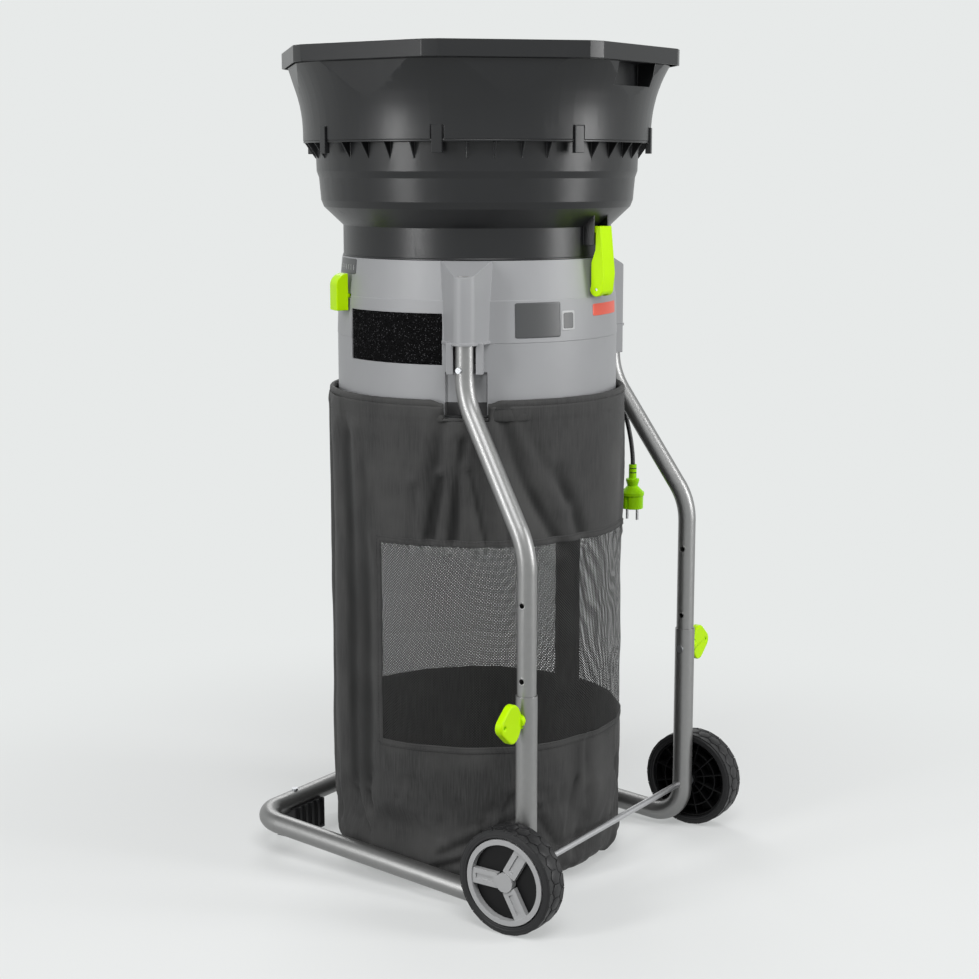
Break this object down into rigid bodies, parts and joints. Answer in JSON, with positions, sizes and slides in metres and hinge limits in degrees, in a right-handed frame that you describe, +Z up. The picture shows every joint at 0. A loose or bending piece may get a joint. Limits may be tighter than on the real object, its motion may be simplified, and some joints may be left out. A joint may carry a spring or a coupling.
{
  "type": "leaf shredder",
  "caption": "Upright garden leaf shredder: wide hopper over a line cutter, cloth catch bag below, tubular stand with wheels, height locks and short mains lead.",
  "frame": {"origin": "on the floor, under the middle of the whole shredder's footprint", "axes": "+Z up, wheel axle along X, wheels towards +Y, crossbar and feet towards -Y"},
  "size_m": [0.6286, 0.624, 1.274],
  "materials": {
    "hopper_plastic": "fine grained charcoal moulding",
    "housing_plastic": "fine grained grey moulding",
    "green_plastic": "lime green moulding",
    "black_plastic": "black moulding",
    "trim_plastic": "light grey moulding",
    "filter_foam": "open cell foam",
    "tube_paint": "satin silver paint on steel tube",
    "steel": "plain turned steel",
    "zinc": "bright zinc plate",
    "motor_case": "cast case",
    "tyre": "solid tyre with block tread",
    "bag_cloth": "woven polyester cloth",
    "bag_mesh": "open mesh",
    "cord_sheath": "flexible lead sheath",
    "plug_plastic": "green plug moulding",
    "nylon": "nylon line"
  },
  "bodies": {
    "frame": {"right_base_tube": "tube_paint", "left_base_tube": "tube_paint", "crossbar": "tube_paint", "crossbar_sleeves": "steel", "foot_screws": "zinc", "right_foot": "black_plastic", "left_foot": "black_plastic", "axle": "steel", "wheel_washers": "zinc", "axle_caps": "zinc", "leg_bolts": "zinc"},
    "machine": {"hopper_upper": "hopper_plastic", "hopper_lower": "hopper_plastic", "housing_upper": "housing_plastic", "housing_lower": "housing_plastic", "air_filter": "filter_foam", "latch_pins": "steel", "motor_pod": "black_plastic", "pod_cover": "black_plastic", "pod_screws": "zinc", "arm_screws": "zinc", "motor_can": "motor_case", "bearing_upper": "steel", "bearing_lower": "steel", "leaf_bag": "bag_cloth", "bag_windows": "bag_mesh", "bag_hem": "bag_cloth", "bag_ring": "steel", "right_upper_tube": "tube_paint", "left_upper_tube": "tube_paint", "leg_screws": "zinc", "cord_gland": "black_plastic", "power_cord": "cord_sheath", "plug": "plug_plastic", "plug_pins": "steel"},
    "rotor": {"motor_shaft": "steel", "line_head": "black_plastic", "cutting_lines": "nylon", "head_nut": "zinc"},
    "selector": {"selector_lever": "green_plastic", "selector_ring": "black_plastic"},
    "rear_latch": {"latch_rear": "green_plastic"},
    "front_latch": {"latch_front": "green_plastic"},
    "right_wheel": {"right_tyre": "tyre", "right_wheel_core": "black_plastic", "right_wheel_trim": "trim_plastic"},
    "left_wheel": {"left_tyre": "tyre", "left_wheel_core": "black_plastic", "left_wheel_trim": "trim_plastic"},
    "right_lock": {"right_knob": "green_plastic"},
    "left_lock": {"left_knob": "green_plastic"}
  },
  "joints": [
    {"name": "height_slide", "type": "slide", "parent": "frame", "child": "machine", "axis": [0, 0, 1], "range_m": [-0.168, 0], "deforming": ["leaf_bag", "bag_windows"]},
    {"name": "rotor_spin", "type": "hinge", "parent": "machine", "child": "rotor", "pos_m": [0, -0.02, 0.929], "axis": [0, 0, 1], "continuous": true},
    {"name": "selector_turn", "type": "hinge", "parent": "machine", "child": "selector", "pos_m": [0, -0.02, 0.906], "axis": [0, 0, 1], "range_deg": [-20, 0]},
    {"name": "rear_latch_open", "type": "hinge", "parent": "machine", "child": "rear_latch", "pos_m": [0, 0.208, 0.918], "axis": [-1, 0, 0], "range_deg": [0, 100]},
    {"name": "front_latch_open", "type": "hinge", "parent": "machine", "child": "front_latch", "pos_m": [0, -0.248, 0.918], "axis": [1, 0, 0], "range_deg": [0, 100]},
    {"name": "right_wheel_spin", "type": "hinge", "parent": "frame", "child": "right_wheel", "pos_m": [0.279, 0.232, 0.08], "axis": [1, 0, 0], "continuous": true},
    {"name": "left_wheel_spin", "type": "hinge", "parent": "frame", "child": "left_wheel", "pos_m": [-0.279, 0.232, 0.08], "axis": [1, 0, 0], "continuous": true},
    {"name": "right_knob_turn", "type": "hinge", "parent": "frame", "child": "right_lock", "pos_m": [0.27, 0.232, 0.314], "axis": [1, 0, 0], "continuous": true},
    {"name": "left_knob_turn", "type": "hinge", "parent": "frame", "child": "left_lock", "pos_m": [-0.27, 0.232, 0.314], "axis": [1, 0, 0], "continuous": true}
  ]
}
